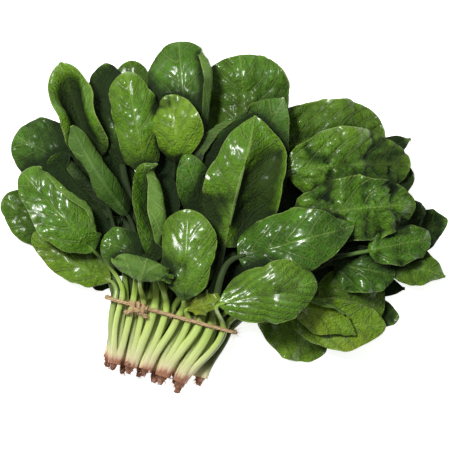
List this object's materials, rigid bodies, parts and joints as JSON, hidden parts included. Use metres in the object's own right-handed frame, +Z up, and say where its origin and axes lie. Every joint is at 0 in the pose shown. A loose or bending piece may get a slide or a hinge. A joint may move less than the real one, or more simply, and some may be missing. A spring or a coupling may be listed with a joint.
{
  "type": "spinach bunch",
  "caption": "Fresh spinach bunch lying on its side: whole plants with broad glossy leaves, pale stems and cut root crowns, held by a loop of jute twine.",
  "frame": {"origin": "on the surface that the bunch lies on, at the middle of the twine's flat underside", "axes": "+Z up out of the surface, +Y from the roots towards the leaf tips, +X to the right of the bunch seen from above, towards the leaves that fan out furthest"},
  "size_m": [0.3155, 0.2477, 0.0702],
  "materials": {
    "leaf": "glossy, puckered green blade, paler and matt underneath",
    "stem": "satin, pale yellow-green stem running to a pink-brown root crown",
    "twine": "matt twisted jute with loose fibres"
  },
  "bodies": {
    "root": {"plant_01_leaf_1": "leaf", "plant_01_leaf_2": "leaf", "plant_01_leaf_3": "leaf", "plant_01_leaf_4": "leaf", "plant_01_stems": "stem", "plant_02_leaf_1": "leaf", "plant_02_leaf_2": "leaf", "plant_02_leaf_3": "leaf", "plant_02_leaf_4": "leaf", "plant_02_stems": "stem", "plant_03_leaf_1": "leaf", "plant_03_leaf_2": "leaf", "plant_03_leaf_3": "leaf", "plant_03_leaf_4": "leaf", "plant_03_stems": "stem", "plant_04_leaf_1": "leaf", "plant_04_leaf_2": "leaf", "plant_04_leaf_3": "leaf", "plant_04_leaf_4": "leaf", "plant_04_stems": "stem", "plant_05_leaf_1": "leaf", "plant_05_leaf_2": "leaf", "plant_05_leaf_3": "leaf", "plant_05_leaf_4": "leaf", "plant_05_leaf_5": "leaf", "plant_05_stems": "stem", "plant_06_leaf_1": "leaf", "plant_06_leaf_2": "leaf", "plant_06_leaf_3": "leaf", "plant_06_leaf_4": "leaf", "plant_06_stems": "stem", "plant_07_leaf_1": "leaf", "plant_07_leaf_2": "leaf", "plant_07_leaf_3": "leaf", "plant_07_leaf_4": "leaf", "plant_07_stems": "stem", "plant_08_leaf_1": "leaf", "plant_08_leaf_2": "leaf", "plant_08_leaf_3": "leaf", "plant_08_leaf_4": "leaf", "plant_08_stems": "stem", "plant_09_leaf_1": "leaf", "plant_09_leaf_2": "leaf", "plant_09_leaf_3": "leaf", "plant_09_leaf_4": "leaf", "plant_09_stems": "stem", "plant_10_leaf_1": "leaf", "plant_10_leaf_2": "leaf", "plant_10_leaf_3": "leaf", "plant_10_leaf_4": "leaf", "plant_10_stems": "stem", "plant_11_leaf_1": "leaf", "plant_11_leaf_2": "leaf", "plant_11_leaf_3": "leaf", "plant_11_leaf_4": "leaf", "plant_11_leaf_5": "leaf", "plant_11_leaf_6": "leaf", "plant_11_stems": "stem", "twine": "twine"}
  },
  "joints": []
}
